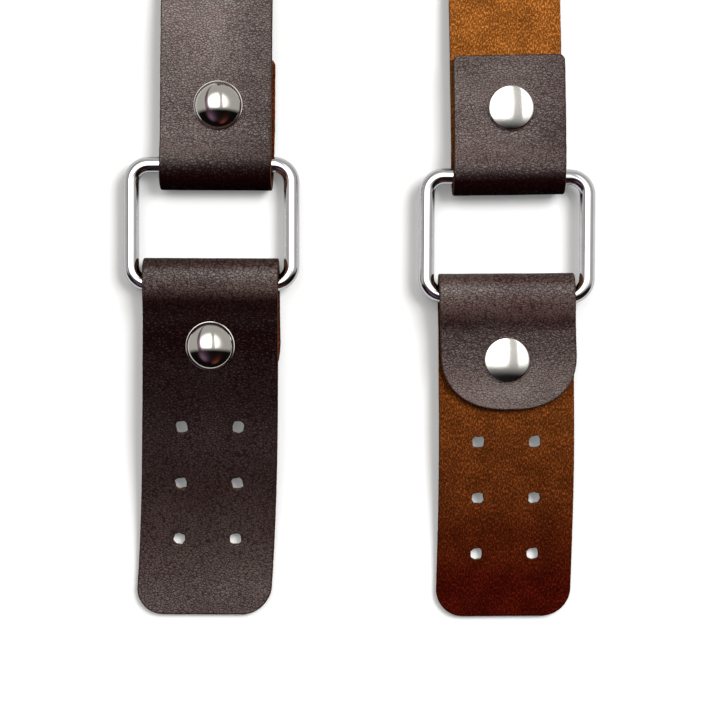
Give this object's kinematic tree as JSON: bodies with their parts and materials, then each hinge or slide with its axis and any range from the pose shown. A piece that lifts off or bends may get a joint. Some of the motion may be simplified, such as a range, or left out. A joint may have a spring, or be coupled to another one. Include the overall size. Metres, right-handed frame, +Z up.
{
  "type": "suspenders",
  "caption": "Leather Y-back suspenders laid flat, each strap end folded and riveted round a wire ring with a punched leather tab.",
  "frame": {"origin": "middle of the base of the laid suspenders' box, on the table", "axes": "+Y from the front ends to the shoulder folds, +X to the right seen from above, +Z up from the table"},
  "size_m": [0.129, 0.6094, 0.0258],
  "materials": {
    "leather": "dark brown pebbled grain with a tan suede flesh side",
    "nickel": "polished nickel plate"
  },
  "bodies": {
    "harness": {"strap_left": "leather", "strap_left_rivet_dome": "nickel", "strap_left_rivet_cap": "nickel", "yoke_left_lower_rivet_dome": "nickel", "yoke_left_lower_rivet_cap": "nickel", "yoke_left_upper_rivet_dome": "nickel", "yoke_left_upper_rivet_cap": "nickel", "strap_right": "leather", "strap_right_rivet_dome": "nickel", "strap_right_rivet_cap": "nickel", "yoke_right_lower_rivet_dome": "nickel", "yoke_right_lower_rivet_cap": "nickel", "yoke_right_upper_rivet_dome": "nickel", "yoke_right_upper_rivet_cap": "nickel", "strap_back": "leather", "strap_back_rivet_dome": "nickel", "strap_back_rivet_cap": "nickel", "yoke_back_upper_rivet_dome": "nickel", "yoke_back_upper_rivet_cap": "nickel", "yoke_back_lower_rivet_dome": "nickel", "yoke_back_lower_rivet_cap": "nickel", "yoke": "leather"},
    "left_ring": {"ring_left": "nickel"},
    "left_tab": {"tab_left": "leather", "tab_left_rivet_dome": "nickel", "tab_left_rivet_cap": "nickel"},
    "right_ring": {"ring_right": "nickel"},
    "right_tab": {"tab_right": "leather", "tab_right_rivet_dome": "nickel", "tab_right_rivet_cap": "nickel"},
    "back_ring": {"ring_back": "nickel"},
    "back_tab": {"tab_back": "leather", "tab_back_rivet_dome": "nickel", "tab_back_rivet_cap": "nickel"}
  },
  "joints": [
    {"name": "left_ring_in_strap", "type": "hinge", "parent": "harness", "child": "left_ring", "pos_m": [-0.03664, -0.20351, 0.00425], "axis": [1, 0, 0], "range_deg": [-150, 150]},
    {"name": "left_tab_on_ring", "type": "hinge", "parent": "left_ring", "child": "left_tab", "pos_m": [-0.03664, -0.23001, 0.00425], "axis": [-1, 0, 0], "range_deg": [-150, 150]},
    {"name": "right_ring_in_strap", "type": "hinge", "parent": "harness", "child": "right_ring", "pos_m": [0.02942, -0.20626, 0.00535], "axis": [1, -0.0087, 0], "range_deg": [-150, 150]},
    {"name": "right_tab_on_ring", "type": "hinge", "parent": "right_ring", "child": "right_tab", "pos_m": [0.02919, -0.23276, 0.00535], "axis": [-1, 0.0087, 0], "range_deg": [-150, 150]},
    {"name": "back_ring_in_strap", "type": "hinge", "parent": "harness", "child": "back_ring", "pos_m": [-0.00386, -0.01511, 0.00425], "axis": [1, 0.0087, 0], "range_deg": [-150, 150]},
    {"name": "back_tab_on_ring", "type": "hinge", "parent": "back_ring", "child": "back_tab", "pos_m": [-0.00363, -0.04161, 0.00425], "axis": [-1, -0.0087, 0], "range_deg": [-150, 150]}
  ]
}
